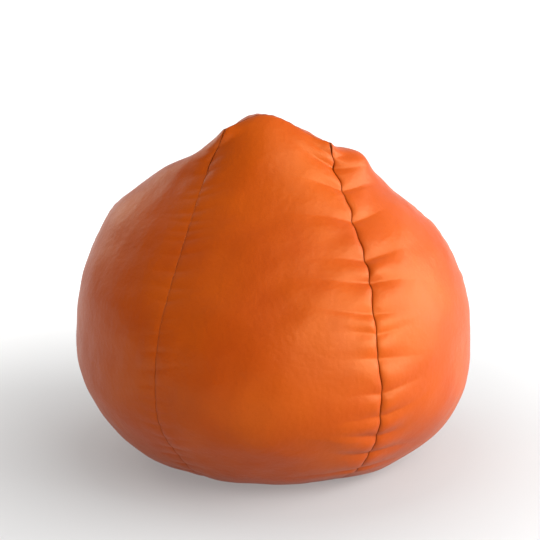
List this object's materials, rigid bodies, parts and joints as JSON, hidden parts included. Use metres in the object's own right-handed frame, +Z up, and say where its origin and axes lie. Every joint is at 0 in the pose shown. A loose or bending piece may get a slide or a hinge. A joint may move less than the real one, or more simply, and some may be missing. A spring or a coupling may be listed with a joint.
{
  "type": "bean bag chair",
  "caption": "Large teardrop bean bag chair in orange leatherette, sat-in shape with a raised back, a hollowed seat, a gored cover with a top cap, a zipped base and a bead-filled inner liner.",
  "frame": {"origin": "middle of the base, on the floor", "axes": "+Z up; the sitter faces -Y, so +Y is towards the raised back; +X is the sitter's left"},
  "size_m": [0.9055, 0.9387, 0.784],
  "materials": {
    "leatherette": "satin",
    "thread": "satin",
    "liner_cloth": "matte",
    "beads": "matte",
    "zip_tape": "matte",
    "zip_teeth": "satin",
    "zip_metal": "satin"
  },
  "bodies": {
    "bag": {"back_gore": "leatherette", "back_right_gore": "leatherette", "front_right_gore": "leatherette", "front_gore": "leatherette", "front_left_gore": "leatherette", "back_left_gore": "leatherette", "top_cap": "leatherette", "base_panel_back": "leatherette", "base_panel_front": "leatherette", "seam_threads": "thread", "liner_back_gore": "liner_cloth", "liner_back_right_gore": "liner_cloth", "liner_front_right_gore": "liner_cloth", "liner_front_gore": "liner_cloth", "liner_front_left_gore": "liner_cloth", "liner_back_left_gore": "liner_cloth", "liner_top_cap": "liner_cloth", "liner_base_back": "liner_cloth", "liner_base_front": "liner_cloth", "bead_fill": "beads", "cover_zip_tape_back": "zip_tape", "cover_zip_tape_front": "zip_tape", "liner_zip_tape_back": "zip_tape", "liner_zip_tape_front": "zip_tape", "cover_zip_teeth_back": "zip_teeth", "cover_zip_teeth_front": "zip_teeth", "cover_zip_closed_stop": "zip_teeth", "cover_zip_open_stop": "zip_teeth", "liner_zip_teeth_back": "zip_teeth", "liner_zip_teeth_front": "zip_teeth", "liner_zip_closed_stop": "zip_teeth", "liner_zip_open_stop": "zip_teeth"},
    "cover_zip_slider": {"cover_zip_slider": "zip_metal"},
    "cover_zip_pull": {"cover_zip_pull": "zip_metal"},
    "liner_zip_slider": {"liner_zip_slider": "zip_metal"}
  },
  "joints": [
    {"name": "cover_zip", "type": "slide", "parent": "bag", "child": "cover_zip_slider", "axis": [-1, 0, 0], "range_m": [0, 0.4756]},
    {"name": "cover_zip_pull_hinge", "type": "hinge", "parent": "cover_zip_slider", "child": "cover_zip_pull", "pos_m": [0.2364, 0, 0.002], "axis": [0, -1, 0], "range_deg": [0, 170]},
    {"name": "liner_zip", "type": "slide", "parent": "bag", "child": "liner_zip_slider", "axis": [-1, 0, 0], "range_m": [0, 0.4436]}
  ]
}
